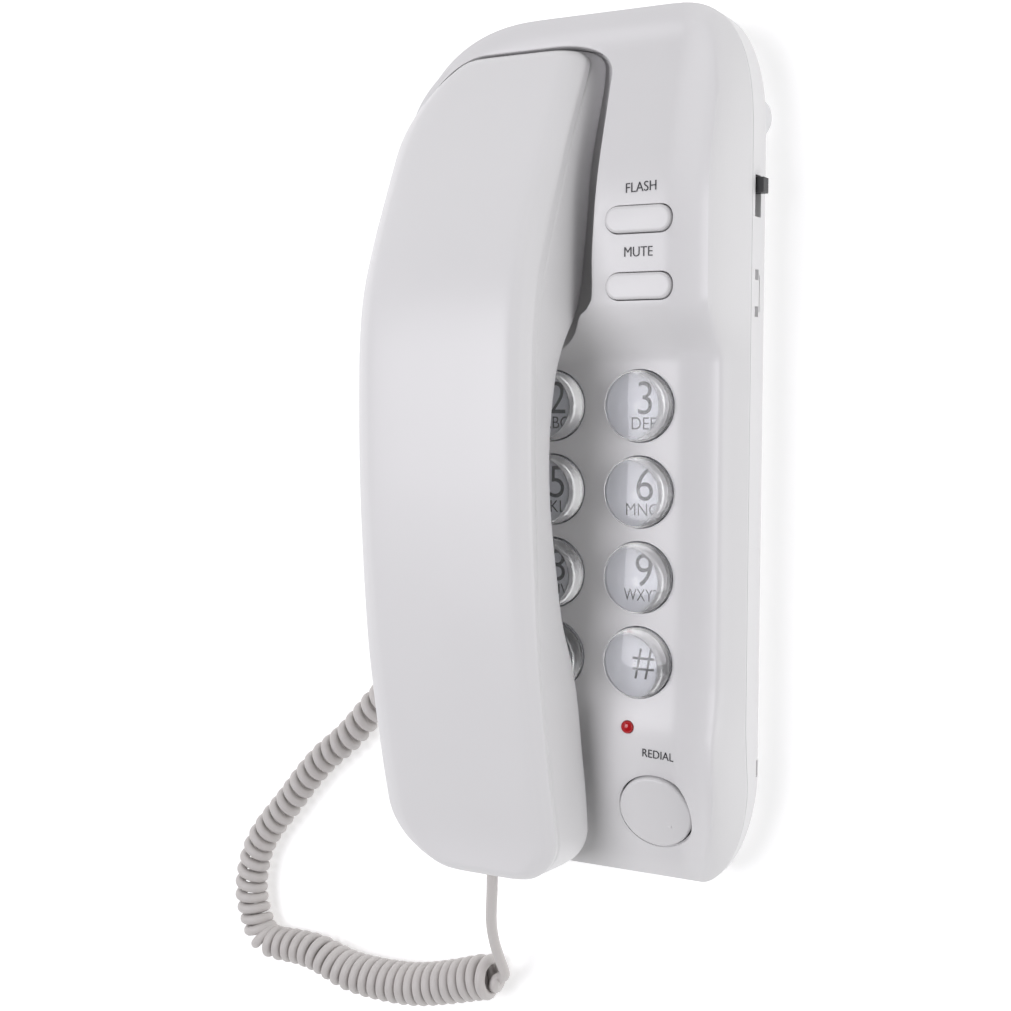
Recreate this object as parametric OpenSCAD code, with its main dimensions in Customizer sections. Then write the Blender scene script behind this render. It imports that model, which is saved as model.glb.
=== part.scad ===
/* [Base] */
// Width of the base
base_w = 90; // [88:1:92]
// Upper end of the base, along Y
base_top = 104; // [103:0.5:105]
// Lower end of the base, along Y
base_bottom = -100; // [-101:0.5:-99]
// Height of the feet under the back cover
foot_h = 8; // [7:0.5:8.5]
// Height of the flat face around the keys
face_z = 21; // [20.8:0.1:21.4]
// Wall thickness of the covers
wall = 2.2; // [2:0.1:2.4]

/* [Keys] */
// Diameter of a round key cap
key_d = 16.6; // [16:0.1:17]
// Distance between key columns
key_dx = 22.5; // [22:0.5:23]
// Distance between key rows
key_dy = 20; // [19.5:0.5:20]

/* [Handset] */
// Half the width of the handset
hs_w = 22.75; // [22:0.25:23]
// Upper end of the handset, along Y
hs_top = 96.6; // [96:0.1:96.6]
// Lower end of the handset, along Y
hs_bottom = -99.5; // [-100:0.1:-99]

/* [Cord] */
// Diameter of the cord itself
cord_d = 2.8; // [2.4:0.1:3]

/* [Hidden] */
$fn = 48;
half_w = base_w / 2;
shell_white = [0.87, 0.87, 0.88];
cord_grey = [0.78, 0.76, 0.73];

// ---- curves ----
function mix(a, b, t) = a + (b - a) * t;
function ease(lo, hi, v) = let (t = min(1, max(0, (v - lo) / (hi - lo)))) t * t * (3 - 2 * t);
// How far a rounded corner has come in, t past its start, over b, by a, with exponent n
function corner_in(t, a, b, n) =
    t <= 0 ? 0 : a * (1 - pow(max(0, 1 - pow(min(1, t / b), n)), 1 / n));
// A smooth curve through rising [position, value] rows
function slope_at(tab, i) =
    i <= 0 ? (tab[1][1] - tab[0][1]) / (tab[1][0] - tab[0][0])
    : i >= len(tab) - 1 ? (tab[i][1] - tab[i - 1][1]) / (tab[i][0] - tab[i - 1][0])
    : (tab[i + 1][1] - tab[i - 1][1]) / (tab[i + 1][0] - tab[i - 1][0]);
function row_of(tab, v, i = 0) =
    i >= len(tab) - 2 || v < tab[i + 1][0] ? i : row_of(tab, v, i + 1);
function curve(tab, v) =
    let (i = row_of(tab, v), w = tab[i + 1][0] - tab[i][0],
        t = min(1, max(0, (v - tab[i][0]) / w)))
    (2 * pow(t, 3) - 3 * t * t + 1) * tab[i][1] + (pow(t, 3) - 2 * t * t + t) * w * slope_at(tab, i)
    + (3 * t * t - 2 * pow(t, 3)) * tab[i + 1][1] + (pow(t, 3) - t * t) * w * slope_at(tab, i + 1);

// ---- solids from rings ----
// Closed solid through rings of equal length
module loft(rings) {
    n = len(rings[0]);
    m = len(rings);
    points = [for (ring = rings) for (p = ring) p];
    walls = [for (i = [0:m - 2]) for (j = [0:n - 1])
        let (a = i * n + j, b = i * n + (j + 1) % n)
        for (tri = [[a, b, b + n], [a, b + n, a + n]]) tri];
    caps = [[for (j = [n - 1:-1:0]) j], [for (j = [0:n - 1]) (m - 1) * n + j]];
    polyhedron(points, concat(walls, caps), convexity = 8);
}
// Joins shell shapes into one mesh, before round holes are cut in it
module joined() { resize([0, 0, 0]) union() children(); }
function unit(v) = v / norm(v);
function tangent(path, i) = unit(path[min(i + 1, len(path) - 1)] - path[max(i - 1, 0)]);
// Ring of a tube round one point of its path
function tube_ring(path, i, r, sides) =
    let (t = tangent(path, i), s = unit(cross(t, [0, 0, 1])), u = cross(s, t))
    [for (j = [0:sides - 1]) path[i] + r * (cos(360 * j / sides) * s + sin(360 * j / sides) * u)];
// Tube along a path; radii has one radius a point
module tube(path, radii, sides) {
    loft([for (i = [0:len(path) - 1]) tube_ring(path, i, radii[i], sides)]);
}

// ---- base outline ----
// Corners as [reach along X, reach along Y, exponent]
corner_tr = [20, 32, 2.7];
corner_tl = [38, 42, 2.4];
corner_low = [12, 26, 1.8];
// Right and left edges at y, upper and lower edges at x, all drawn in by inset
function side_edge(y, top, inset) =
    half_w - inset
    - corner_in(y - (base_top - top[1]), top[0] - inset, top[1] - inset, top[2])
    - corner_in((base_bottom + corner_low[1]) - y, corner_low[0] - inset, corner_low[1] - inset,
        corner_low[2]);
function right_edge(y, inset = 0) = side_edge(y, corner_tr, inset);
function left_edge(y, inset = 0) = -side_edge(y, corner_tl, inset);
function top_edge(x, inset = 0) = base_top - inset
    - corner_in(x - (half_w - corner_tr[0]), corner_tr[1] - inset, corner_tr[0] - inset, corner_tr[2])
    - corner_in(-x - (half_w - corner_tl[0]), corner_tl[1] - inset, corner_tl[0] - inset, corner_tl[2]);
function bottom_edge(x, inset = 0) = base_bottom + inset
    + corner_in(abs(x) - (half_w - corner_low[0]), corner_low[1] - inset, corner_low[0] - inset,
        corner_low[2]);
// Rows of the base along Y, closer near its ends, for an inset outline
function base_rows(inset) = let (lo = base_bottom + inset, hi = base_top - inset)
    concat([lo, lo + 0.5, lo + 1.3, lo + 2.5, lo + 4, lo + 6.5, lo + 10, lo + 15],
        [for (y = [-79:6:-55]) y], [-51, -40, -15, 10, 22, 26, 30, 34, 38, 47, 57, 65, 73, 80],
        [hi - 18, hi - 13, hi - 9.5, hi - 6.5, hi - 4, hi - 2.5, hi - 1.3, hi - 0.5, hi]);
function outline(inset) = concat(
    [for (y = base_rows(inset)) [right_edge(y, inset), y]],
    [for (i = [len(base_rows(inset)) - 1:-1:0]) let (y = base_rows(inset)[i]) [left_edge(y, inset), y]]);

// ---- face of the base ----
back_z = foot_h;
floor_z = back_z + wall;
// Height of the seam between the covers: level, then dropping towards the lower end
function seam_z(y) = y > -62 ? 18 : curve([[-101, 12.9], [-81, 15.4], [-62, 18]], y);
// Raised edge along the right side
rim_h = [[-101, 3], [-90, 5.4], [-76, 6], [-53, 4.5], [-30, 4.2], [105, 4.5]];
// Chin under the right key column, and the valley under the handset's mouthpiece
chin = [[-101, 14.3], [-93, 16], [-83, 18.6], [-73, 21.3], [-63, 22.5], [-57, 21.6], [-51, face_z]];
valley = [[-101, 14.3], [-83, 16], [-71, 17.6], [-63, 19.2], [-56, 20.8], [-51, face_z]];
hump_h = 8;
function hump(x, y) = hump_h * ease(23, 37, y) * (1 - ease(57, 97, y)) * ease(-20, -5, x);
// The face eases down towards the upper end, above the ear well
brow = 1.5;
function face_at(x, y) =
    (y > -51 ? face_z : mix(curve(valley, y), curve(chin, y), ease(3, 15, x)))
    + curve(rim_h, y) * ease(28, 40, x) + hump(x, y) - brow * ease(84, 98, y);
// Distance in from the outline
function depth_in(x, y, inset) =
    let (h = max(0, min(right_edge(y, inset) - x, x - left_edge(y, inset))),
        v = max(0, min(top_edge(x, inset) - y, y - bottom_edge(x, inset))))
    h == 0 || v == 0 ? 0 : h * v / norm([h, v]);
bevel = 4.6;
// Upright band between the seam and the rounded edge
seam_band = 0.4;
// Top surface, rounded down to the seam round its edge; its ends are very slightly arched
function top_at(x, y, inset) =
    let (t = min(1, depth_in(x, y, inset) / bevel), low = seam_z(y) + seam_band,
        l = left_edge(y, inset), r = right_edge(y, inset), u = (2 * x - l - r) / (r - l))
    mix(low + 0.2 * (1 - u * u), face_at(x, y) - inset, 1 - pow(1 - t, 1.6));
edge_steps = [0.5, 1.3, 2.4, 3.6, 4.8];
mid_steps = [0.03, 0.1, 0.2, 0.32, 0.44, 0.56, 0.68, 0.76, 0.82, 0.88, 0.94, 1];
// Section of the top cover's solid across X at y
function base_ring(y, inset, under) =
    let (l = left_edge(y, inset), r = right_edge(y, inset), low = seam_z(y),
        xs = concat([l], [for (e = edge_steps) l + e],
            [for (f = mid_steps) mix(l + 5, r - 5, f)],
            [for (i = [len(edge_steps) - 2:-1:0]) r - edge_steps[i]], [r]))
    concat([for (x = xs) [x, y, top_at(x, y, inset)]],
        [[r, y, low - under], [l, y, low - under]]);
module base_solid(inset, under) {
    loft([for (y = base_rows(inset)) base_ring(y, inset, under)]);
}

// ---- ear well ----
well_left = -42.3;
well_top = 97;
well_end = 22;
// Right wall from its slanted lower end upwards, and the reach and exponent of the corner above it
well_right = [[-8, 22], [3, 28.5], [7.2, 33.9], [10.4, 37], [10.6, 48], [11.4, 62], [11.9, 82], [12.05, 88.5]];
well_corner = [16, 8.5, 2.3];
// Floor: level of the well along Y
well_floor = [[94, 12.2], [38, 16.2], [24, face_z + 0.6]];
// Plan of the well, grown outwards
function well_plan(grow) = let (a = 21 + grow, b = 25 + grow, n = well_corner[2],
        right = well_right[7][0] + grow, top = well_top + grow, left = well_left - grow,
        ca = well_corner[0] + grow, cb = well_corner[1] + grow)
    concat([for (p = well_right) [p[0] + grow, p[1] - grow * (p[1] < 35 ? 1 : 0)]],
        [for (t = [15:15:90]) [right - ca + ca * pow(cos(t), 2 / n), top - cb + cb * pow(sin(t), 2 / n)]],
        [for (t = [90:10:180]) [left + a + a * cos(t), top - b + b * sin(t)]],
        [[left, well_end - grow]]);
// Side view of the space above the well's floor, lowered by drop
module well_side(drop) {
    rotate([90, 0, 90])
        linear_extrude(100)
            polygon([[well_top + 5, well_floor[0][1] - drop], [well_floor[0][0], well_floor[0][1] - drop],
                [well_floor[1][0], well_floor[1][1] - drop], [well_floor[2][0], well_floor[2][1] - drop],
                [well_end - 5, face_z + 0.7 - drop], [well_end - 5, 45], [well_top + 5, 45]]);
}
module well_space(grow, drop) {
    intersection() {
        translate([0, 0, 8]) linear_extrude(40) polygon(well_plan(grow));
        translate([-50, 0, 0]) well_side(drop);
    }
}

// ---- places ----
KEYS = ["1", "2", "3", "4", "5", "6", "7", "8", "9", "star", "0", "hash"];
key_right = 19.5;
key_first_row = 13;
function key_pos(i) = [key_right - key_dx * (2 - i % 3), key_first_row - key_dy * floor(i / 3)];
flash_pos = [22.3, 54.9];
mute_pos = [22.5, 40];
pill_l = 16;
pill_w = 5.9;
pill_gap = 0.25;
redial_pos = [23.5, -82.7, 18.6];
redial_r = 9.05;
redial_hole_r = 9.4;
redial_tilt = atan(0.3);
led_pos = [17.5, -62.4];
led_r = 1.5;
base_screw_pos = [[-38, -78], [38, -78], [-38, 22], [38, 84]];
foot_pos = [[38.8, 79.4], [-36, 79.4], [32, -84], [-32, -84]];
foot_r = 5.6;
keyhole_pos = [[0, -41.5], [0, 41.5]];
keyhole_r = 4.2;
hook_pos = [-18, 42];
hook_r = 3;
ringer_pos = [26, 76];
// Jack openings: width and height of the socket
socket_w = 6.8;
socket_h = 5.4;
jack_h = 7.6;
line_jack_x = 22;
line_jack_w = 12;
base_jack_y = -45;
base_jack_w = 11;
switch_slot = [55.6, 64.9];
switch_slot_z = [12, 16];
switch_knob_y = [60.9, 64.3];
knob_out = 1.8;
// Square holes of the catch on the right side
catch_y = [34.4, 42.7];
catch_size = 2.4;
pcb_z = 12.9;
pcb_t = 1.6;
membrane_t = 1.1;

// ---- base covers ----
module pill(length, width, height) {
    for (side = [-1, 1]) translate([side * (length - width) / 2, 0, 0]) cylinder(h = height, d = width);
    translate([width / 2 - length / 2, -width / 2, 0]) cube([length - width, width, height]);
}
module redial_frame() {
    translate(redial_pos) rotate([redial_tilt, 0, 0]) children();
}
// Solid with a side view of [y, z] points, from x0 to x1
module side_block(x0, x1, side) {
    rotate([90, 0, 90]) translate([0, 0, x0]) linear_extrude(x1 - x0) polygon(side);
}
// Side views of the hollow under the face, under the chin and under the hump
under_face = [[104, 10], [104, 18.8], [-57.5, 18.8], [-64, 17], [-72, 15.2], [-84, 13.4], [-96, 12],
    [-96, 10]];
under_chin = [[-50, 18], [-56, 19.2], [-63, 20], [-72, 19], [-83, 16.2], [-92, 13.8], [-96, 12.6], [-96, 10],
    [-50, 10]];
under_hump = [[20, 18], [20, 18.8], [28, 20.4], [32, 23], [37, 26.4], [57, 26.4], [64, 25.6], [72, 23.4],
    [82, 20.8], [92, 18.8], [92, 18]];
// The hollow, less the walls and floor of the ear well and the screw bosses
module cover_hollow() {
    difference() {
        union() {
            intersection() {
                translate([0, 0, 8]) linear_extrude(30) polygon(outline(wall));
                side_block(-60, 60, under_face);
            }
            side_block(16, 38, under_chin);
            side_block(13, 38.5, under_hump);
        }
        well_space(2, 2);
        for (p = base_screw_pos) translate([p[0], p[1], 14.6]) cylinder(h = 20, r = 3.2, $fn = 24);
    }
}
module base_top_cover() {
    color(shell_white)
    difference() {
        base_solid(0, 0);
        cover_hollow();
        well_space(0, 0);
        for (i = [0:11]) translate([key_pos(i)[0], key_pos(i)[1], 15]) cylinder(h = 10, d = key_d + 0.4);
        for (p = [flash_pos, mute_pos]) translate([p[0], p[1], 20])
            pill(pill_l + 2 * pill_gap, pill_w + 2 * pill_gap, 14);
        redial_frame() {
            translate([0, 0, -8]) cylinder(h = 16, r = redial_hole_r);
            translate([0, 0, -8]) cylinder(h = 6.5, r = redial_hole_r + 1.6);
        }
        translate([led_pos[0], led_pos[1], 15]) cylinder(h = 12, r = led_r + 0.1, $fn = 24);
        translate([hook_pos[0], hook_pos[1], 10]) cylinder(h = 12, r = hook_r + 0.4, $fn = 32);
        for (p = base_screw_pos) translate([p[0], p[1], 14]) cylinder(h = 2.6, r = 1.45, $fn = 24);
    }
}
module keyhole(p) {
    translate([p[0], p[1], back_z - 1]) cylinder(h = 5, r = keyhole_r);
    translate([p[0] - 2, p[1], back_z - 1]) cube([4, 9, 5]);
    translate([p[0], p[1] + 9, back_z - 1]) cylinder(h = 5, r = 2, $fn = 24);
}
// Everything under the seam, across the whole width
module below_seam() {
    rotate([90, 0, 90]) translate([0, 0, -60]) linear_extrude(120)
        polygon(concat([[110, 18], [110, back_z - 1], [-110, back_z - 1], [-110, seam_z(base_bottom)]],
            [for (y = base_rows(0)) if (y < -60) [y, seam_z(y)]]));
}
module base_back_cover() {
    color(shell_white)
    difference() {
        union() {
            intersection() {
                below_seam();
                difference() {
                    translate([0, 0, back_z]) linear_extrude(12) polygon(outline(0));
                    translate([0, 0, floor_z]) linear_extrude(12) polygon(outline(wall));
                }
            }
            for (p = base_screw_pos) translate([p[0], p[1], floor_z])
                cylinder(h = 14.4 - floor_z, r = 3.4, $fn = 24);
            for (p = pcb_screw_pos) translate([p[0], p[1], floor_z])
                cylinder(h = pcb_z - floor_z, r = 2.6, $fn = 24);
        }
        for (p = base_screw_pos) {
            translate([p[0], p[1], back_z - 1]) cylinder(h = 8, r = 1.6, $fn = 24);
            translate([p[0], p[1], back_z - 1]) cylinder(h = 3.2, r = 3, $fn = 24);
        }
        for (p = pcb_screw_pos) translate([p[0], p[1], floor_z]) cylinder(h = 4, r = 1, $fn = 24);
        for (p = keyhole_pos) keyhole(p);
        // Sound holes under the ringer
        for (t = [0:60:300]) translate([ringer_pos[0] + 5 * cos(t), ringer_pos[1] + 5 * sin(t), back_z - 1])
            cylinder(h = 5, r = 1, $fn = 24);
        // Jack openings in the upper end and the left side
        translate([line_jack_x - line_jack_w / 2 - 0.1, 100, floor_z]) cube([line_jack_w + 0.2, 8, 10]);
        translate([-half_w - 3, base_jack_y - base_jack_w / 2 - 0.1, floor_z])
            cube([8, base_jack_w + 0.2, 10]);
        // Slot of the ringer switch, and the catch holes
        translate([40, switch_slot[0], switch_slot_z[0]])
            cube([8, switch_slot[1] - switch_slot[0], switch_slot_z[1] - switch_slot_z[0]]);
        for (y = catch_y) translate([half_w - 1, y - catch_size / 2, 13]) cube([4, catch_size, catch_size]);
        translate([half_w - 0.6, catch_y[0], 12.1]) cube([4, catch_y[1] - catch_y[0], 0.5]);
        translate([half_w - 1.2, -74, 8.7]) cube([4, 4, 1.3]);
    }
}
module foot() {
    rotate_extrude() polygon([[0, 0], [3.4, 0], [4.5, 0.5], [5.2, 1.5], [foot_r, 3.2], [foot_r, foot_h],
        [0, foot_h]]);
}
module rubber_feet() {
    color([0.9, 0.9, 0.9]) for (p = foot_pos) translate([p[0], p[1], 0]) foot();
}

// ---- keys and buttons ----
label_z = face_z + 0.2;
cap_h = 2.8;
module key_body(i) {
    color([0.93, 0.94, 0.96]) translate([key_pos(i)[0], key_pos(i)[1], 0]) {
        translate([0, 0, 17.3]) cylinder(h = 1.1, r = key_d / 2 + 0.75);
        translate([0, 0, 18.4]) cylinder(h = label_z - 18.4, r = key_d / 2 - 0.1);
    }
}
module key_cap(i) {
    color([0.8, 0.83, 0.9, 0.5]) translate([key_pos(i)[0], key_pos(i)[1], label_z])
        rotate_extrude() polygon(concat([[0, 0], [key_d / 2, 0]],
            [for (t = [0:15:90]) [key_d / 2 - 1.5 + 1.5 * cos(t), cap_h - 1.9 + 1.5 * sin(t)]],
            [[4, cap_h - 0.1], [0, cap_h]]));
}
module pill_button(p) {
    top = face_at(p[0], p[1]) + 1.1;
    color(shell_white) translate([p[0], p[1], 0]) {
        translate([0, 0, 24]) pill(pill_l, pill_w, top - 24);
        translate([0, 0, 23]) pill(pill_l + 1.2, pill_w + 2, 1);
        translate([0, 0, pcb_z + pcb_t + 1.3]) cylinder(h = 8, r = 1.8, $fn = 24);
    }
}
module flash_button() { pill_button(flash_pos); }
module mute_button() { pill_button(mute_pos); }
module redial_button() {
    color(shell_white) redial_frame() {
        translate([0, 0, -1.8]) cylinder(h = 2.4, r = redial_r);
        translate([0, 0, 0.6]) cylinder(h = 0.5, r1 = redial_r, r2 = redial_r - 0.7);
        for (side = [-1, 1]) translate([side * 9 - 1.4, -1.5, -2.9]) cube([2.8, 3, 1.2]);
    }
}
module status_led() {
    z = face_at(led_pos[0], led_pos[1]);
    color([0.75, 0.05, 0.05]) translate([led_pos[0], led_pos[1], 0]) {
        translate([0, 0, z - 4]) cylinder(h = 4.2, r = led_r, $fn = 24);
        translate([0, 0, pcb_z + pcb_t]) cylinder(h = z - 4 - pcb_z - pcb_t, r = 0.9, $fn = 24);
        translate([0, 0, z + 0.2]) intersection() {
            sphere(r = led_r, $fn = 24);
            translate([-2, -2, 0]) cube([4, 4, 0.6]);
        }
    }
}

// ---- electronics of the base ----
pcb_screw_pos = [[-29, -62], [29, -62], [-29, 18], [29, 30]];
module main_pcb() {
    color([0.1, 0.35, 0.2]) difference() {
        translate([0, 0, pcb_z]) linear_extrude(pcb_t)
            polygon([[-33, -68], [12, -68], [12, -80.3], [33, -80.3], [33, 66], [17, 66], [17, 22.5],
                [-33, 22.5]]);
        for (p = pcb_screw_pos) translate([p[0], p[1], 8]) cylinder(h = 10, r = 1.3, $fn = 24);
    }
}
module pcb_screws() {
    color([0.6, 0.6, 0.62]) for (p = pcb_screw_pos) translate([p[0], p[1], 0]) {
        translate([0, 0, floor_z + 0.3]) cylinder(h = 4.2, r = 0.95, $fn = 24);
        translate([0, 0, pcb_z + pcb_t]) cylinder(h = 0.9, r = 2, $fn = 24);
    }
}
module keypad_membrane() {
    color([0.75, 0.76, 0.78]) {
        translate([-31.5, -59, pcb_z + pcb_t]) cube([62, 73, membrane_t]);
        translate([22, -77.6, pcb_z + pcb_t]) cylinder(h = 0.8, r = 2.5, $fn = 24);
        for (p = [flash_pos, mute_pos]) translate([p[0], p[1], pcb_z + pcb_t])
            cylinder(h = 0.2, r = 3, $fn = 24);
    }
}
module ringer_speaker() {
    color([0.2, 0.2, 0.22]) translate([ringer_pos[0], ringer_pos[1], floor_z]) {
        cylinder(h = 3, r = 9);
        translate([0, 0, 3]) cylinder(h = 2.4, r = 6);
    }
}
// Housing of a jack, its mouth at y = 0 facing +Y
module jack(width, depth, back) {
    difference() {
        translate([-width / 2, -depth, 0]) cube([width, depth, jack_h]);
        translate([-socket_w / 2, -depth + back, (jack_h - socket_h) / 2]) cube([socket_w, depth, socket_h]);
    }
}
module line_jack() {
    color([0.25, 0.25, 0.27]) translate([line_jack_x, base_top - 0.15, floor_z + 0.1])
        jack(line_jack_w, 12, 2.5);
}
module base_cord_jack() {
    color([0.25, 0.25, 0.27]) translate([-half_w + 0.15, base_jack_y, floor_z + 0.1])
        rotate([0, 0, 90]) jack(base_jack_w, 9.4, 1.2);
}

// ---- hook ----
hook_top = 18.2;
hook_bore_r = 2;
module hook_plunger() {
    color([0.85, 0.85, 0.85]) translate([hook_pos[0], hook_pos[1], 0]) difference() {
        union() {
            translate([0, 0, floor_z + 0.2]) cylinder(h = 1, r = 4.4);
            translate([0, 0, floor_z + 0.4]) cylinder(h = hook_top - 1 - floor_z - 0.4, r = hook_r);
            translate([0, 0, hook_top - 1]) cylinder(h = 1, r1 = hook_r, r2 = hook_r - 0.9);
        }
        translate([0, 0, floor_z]) cylinder(h = 5.8, r = hook_bore_r);
    }
}
spring_turns = 4;
module hook_spring() {
    r = 1.45;
    low = floor_z + 0.35;
    high = 15.6;
    steps = spring_turns * 10;
    color([0.6, 0.6, 0.6]) tube([for (i = [0:steps]) let (a = 360 * i / 10)
        [hook_pos[0] + r * cos(a), hook_pos[1] + r * sin(a), mix(low, high, i / steps)]],
        [for (i = [0:steps]) 0.25], 6);
}
module hook_switch() {
    color([0.15, 0.15, 0.17]) {
        translate([hook_pos[0] - 5, 27.5, floor_z]) cube([10, 8, 3.4]);
        translate([hook_pos[0] - 1, 35.5, floor_z]) cube([2, 1.8, 0.6]);
    }
}
module ringer_switch() {
    color([0.3, 0.3, 0.32]) difference() {
        translate([34, 54, floor_z + 0.1]) cube([8.6, 12.5, 6.6]);
        translate([38, switch_slot[0], switch_slot_z[0]])
            cube([8, switch_slot[1] - switch_slot[0], switch_slot_z[1] - switch_slot_z[0]]);
    }
}
module ringer_switch_knob() {
    color([0.06, 0.06, 0.07]) translate([38.4, switch_knob_y[0], switch_slot_z[0] + 0.3])
        cube([half_w + knob_out - 38.4, switch_knob_y[1] - switch_knob_y[0],
            switch_slot_z[1] - switch_slot_z[0] - 0.6]);
}
module base_screws() {
    color([0.6, 0.6, 0.62]) for (p = base_screw_pos) translate([p[0], p[1], 0]) {
        translate([0, 0, back_z + 0.7]) cylinder(h = 1.4, r = 2.7, $fn = 24);
        translate([0, 0, back_z + 2.1]) cylinder(h = 6.2, r = 1.35, $fn = 24);
    }
}

// ---- handset ----
hs_x = -17.75;
hs_wall = 2;
// Rows of [y, height] for the outer face, the seam and the inner face
hs_crown = [[-105, 36.2], [-89, 36.8], [-74, 40.6], [-59, 44], [-44, 46.8], [-29, 49], [-9, 50.8],
    [6, 51.3], [19, 51.4], [29, 51], [39, 49.5], [49, 46.5], [61, 41], [76, 33], [91, 25], [97, 21.8]];
hs_seam = [[-105, 32.4], [-89, 33.5], [-74, 37], [-59, 40.3], [-44, 43], [-29, 44.3], [-9, 45.5],
    [6, 45.8], [19, 45.5], [29, 44.8], [39, 43], [49, 39], [61, 33.5], [76, 26.5], [91, 18], [97, 15.8]];
hs_under = [[-105, 18.2], [-91, 18.2], [-79, 19], [-71, 20.3], [-63, 21.7], [-55, 23.6], [-47, 26.3],
    [-39, 29.5], [-29, 32], [-9, 36.3], [6, 36.5], [19, 33.6], [24, 31.2], [29, 27.4], [34, 22.6],
    [39, 19.8], [49, 17.6], [61, 15.7], [76, 14.4], [91, 13.4], [97, 13.2]];
// Corners of the plan as [reach along X, reach along Y, exponent]
hs_corner_tr = [9, 5.5, 2.6];
hs_corner_tl = [20, 24, 2];
hs_corner_br = [11, 11, 2];
hs_corner_bl = [22, 16, 2];
function hs_half(y, top, low, inset) = hs_w - inset
    - corner_in(y - (hs_top - top[1]), top[0] - inset, top[1] - inset, top[2])
    - corner_in((hs_bottom + low[1]) - y, low[0] - inset, low[1] - inset, low[2]);
// How full a section is near the ends, rounded over the last few millimetres
function end_full(y, r, inset) =
    let (q = min(r, y - hs_bottom - inset, hs_top - inset - y)) pow(max(0, 1 - pow(1 - q / r, 2.2)), 1 / 2.2);
function hs_rows(inset) = let (lo = hs_bottom + inset, hi = hs_top - inset)
    concat([lo, lo + 0.4, lo + 1.2, lo + 2.6, lo + 5, lo + 8.5],
        [-85, -77, -67, -55, -43, -30, -10, 8, 20, 27, 32, 37, 43, 52, 62, 70, 77, 83],
        [hi - 8.5, hi - 5, hi - 2.6, hi - 1.2, hi - 0.4, hi]);
// Half sections as [fraction of the half width, fraction of the height from the seam]
back_profile = [[1, 0], [1, 0.35], [0.93, 0.62], [0.86, 0.8], [0.76, 0.94], [0.5, 0.99], [0, 1]];
front_profile = [[1, 0], [1, 0.6], [0.99, 0.86], [0.93, 0.98], [0.86, 1], [0, 1]];
// How far the front shell's right side flares out, from the seam to its lower edge
hs_flare = [[-105, 2], [-91, 1.8], [-71, 1.2], [-49, 1], [-32, 0], [64, 0], [70, 0.35], [76, 1.1], [82, 2],
    [88, 2.8], [97, 3.2]];
function hs_ring(y, inset, profile, edge, past) =
    let (zs = curve(hs_seam, y), dir = sign(curve(edge, y) - zs), n = len(profile),
        h = (curve(edge, y) - dir * inset - zs) * max(0.02, end_full(y, 2, inset)),
        flare = dir < 0 ? curve(hs_flare, y) : 0,
        wr = hs_half(y, hs_corner_tr, hs_corner_br, inset),
        wl = hs_half(y, hs_corner_tl, hs_corner_bl, inset))
    concat([[hs_x + wr, y, zs - dir * past]],
        [for (p = profile) [hs_x + wr * p[0] + flare * p[1] * (p[0] > 0 ? 1 : 0), y,
            zs + (p[1] == 0 ? dir * 0.005 : h * p[1])]],
        [for (i = [n - 2:-1:0]) [hs_x - wl * profile[i][0], y,
            zs + (profile[i][1] == 0 ? dir * 0.005 : h * profile[i][1])]],
        [[hs_x - wl, y, zs - dir * past]]);
module hs_solid(inset, profile, edge, past) {
    rings = [for (y = hs_rows(inset)) hs_ring(y, inset, profile, edge, past)];
    loft(edge[0][1] > hs_seam[0][1] ? rings : [for (i = [len(rings) - 1:-1:0]) rings[i]]);
}
hs_screw_pos = [[-17.75, 47], [-17.75, -66]];
module handset_back_shell() {
    color(shell_white) joined() difference() {
        hs_solid(0, back_profile, hs_crown, 0);
        hs_solid(hs_wall, back_profile, hs_crown, 1);
    }
}
ear_pos = [-17.75, 68];
mic_pos = [-17.75, -79.5];
hs_jack_z = 20.3;
module handset_front_shell() {
    color(shell_white) difference() {
        joined() difference() {
            hs_solid(0, front_profile, hs_under, 0);
            hs_solid(hs_wall, front_profile, hs_under, 1);
        }
        translate([ear_pos[0], ear_pos[1], 10]) {
            cylinder(h = 12, r = 1, $fn = 24);
            for (t = [0:60:300]) translate([5 * cos(t), 5 * sin(t), 0]) cylinder(h = 12, r = 1, $fn = 24);
        }
        for (x = [-4, 0, 4]) translate([mic_pos[0] + x, mic_pos[1], 15]) cylinder(h = 8, r = 0.8, $fn = 24);
        for (p = hs_screw_pos) translate([p[0], p[1], 10]) cylinder(h = 20, r = 2.9, $fn = 24);
        translate([hs_x - base_jack_w / 2 - 0.1, hs_bottom - 1, hs_jack_z - 0.1])
            cube([base_jack_w + 0.2, 8.3, jack_h + 0.2]);
    }
}
module handset_screws() {
    color([0.6, 0.6, 0.62]) for (p = hs_screw_pos) {
        low = curve(hs_under, p[1]) + 1.5;
        translate([p[0], p[1], low]) cylinder(h = 1.6, r = 2.6, $fn = 24);
        translate([p[0], p[1], low]) cylinder(h = 15, r = 1.3, $fn = 24);
    }
}
module handset_cord_jack() {
    color([0.25, 0.25, 0.27]) translate([hs_x, hs_bottom + 0.15, hs_jack_z])
        rotate([0, 0, 180]) jack(base_jack_w, 11, 2);
}
module earpiece_speaker() {
    color([0.2, 0.2, 0.22]) translate([ear_pos[0], ear_pos[1], 19]) {
        cylinder(h = 3, r = 14);
        translate([0, 0, 3]) cylinder(h = 4, r = 9);
    }
}
module microphone() {
    color([0.2, 0.2, 0.22]) translate([mic_pos[0], mic_pos[1], 22.3]) cylinder(h = 4.5, r = 4.8);
}
module handset_weight() {
    color([0.4, 0.4, 0.42]) translate([hs_x - 11, -22, 38.8]) cube([22, 36, 5]);
}

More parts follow.
